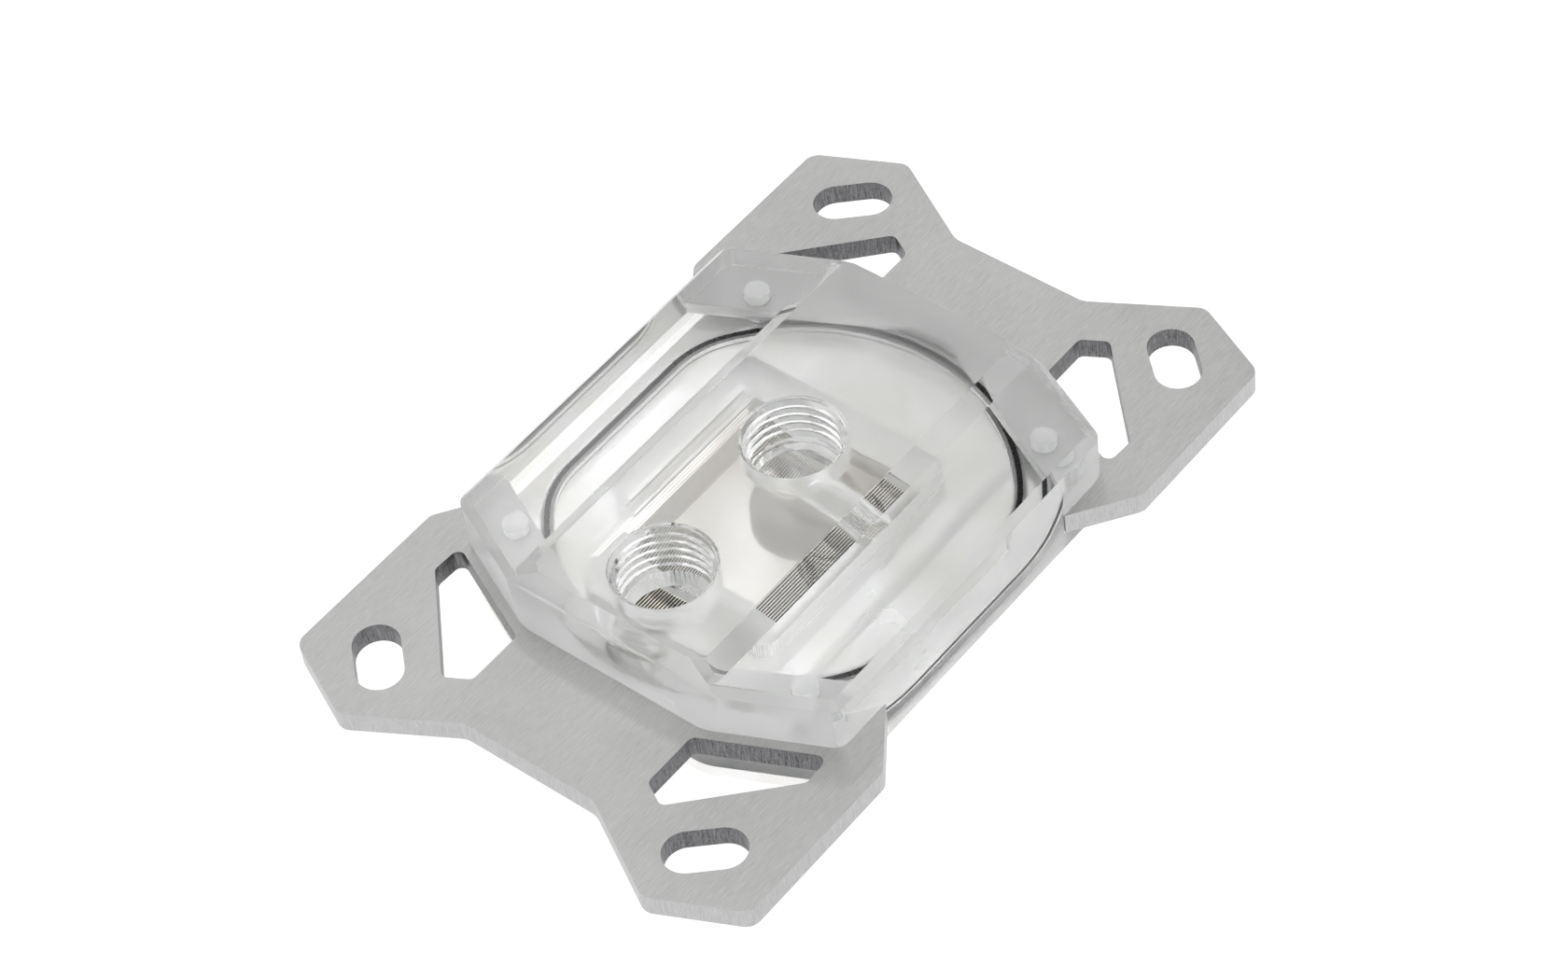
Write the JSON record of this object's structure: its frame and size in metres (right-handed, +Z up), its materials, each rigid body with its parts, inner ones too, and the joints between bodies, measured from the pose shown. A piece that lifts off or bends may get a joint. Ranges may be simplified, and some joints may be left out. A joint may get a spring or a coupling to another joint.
{
  "type": "liquid cooling cold plate",
  "caption": "Clear-topped liquid cooling cold plate with two threaded ports, finned metal base, rubber seal and slotted steel mounting brackets for a processor socket.",
  "frame": {"origin": "middle of the flat contact face, underneath", "axes": "+Z up from the contact face to the ports, +X along the length over both brackets, away from the outlet port, +Y across"},
  "size_m": [0.1086, 0.0696, 0.0167],
  "materials": {
    "clear_top": "clear cast acrylic, polished, machined water ways slightly satin",
    "plate": "nickel plated copper, satin",
    "bracket": "fine grain brushed along the length, cut edges darker",
    "screw": "turned stainless steel",
    "seal": "matt black"
  },
  "bodies": {
    "root": {"top_block": "clear_top", "cold_plate": "plate", "main_seal": "seal", "right_bracket": "bracket", "left_bracket": "bracket", "clamp_screw_1": "screw", "clamp_screw_2": "screw", "clamp_screw_3": "screw", "clamp_screw_4": "screw"}
  },
  "joints": []
}
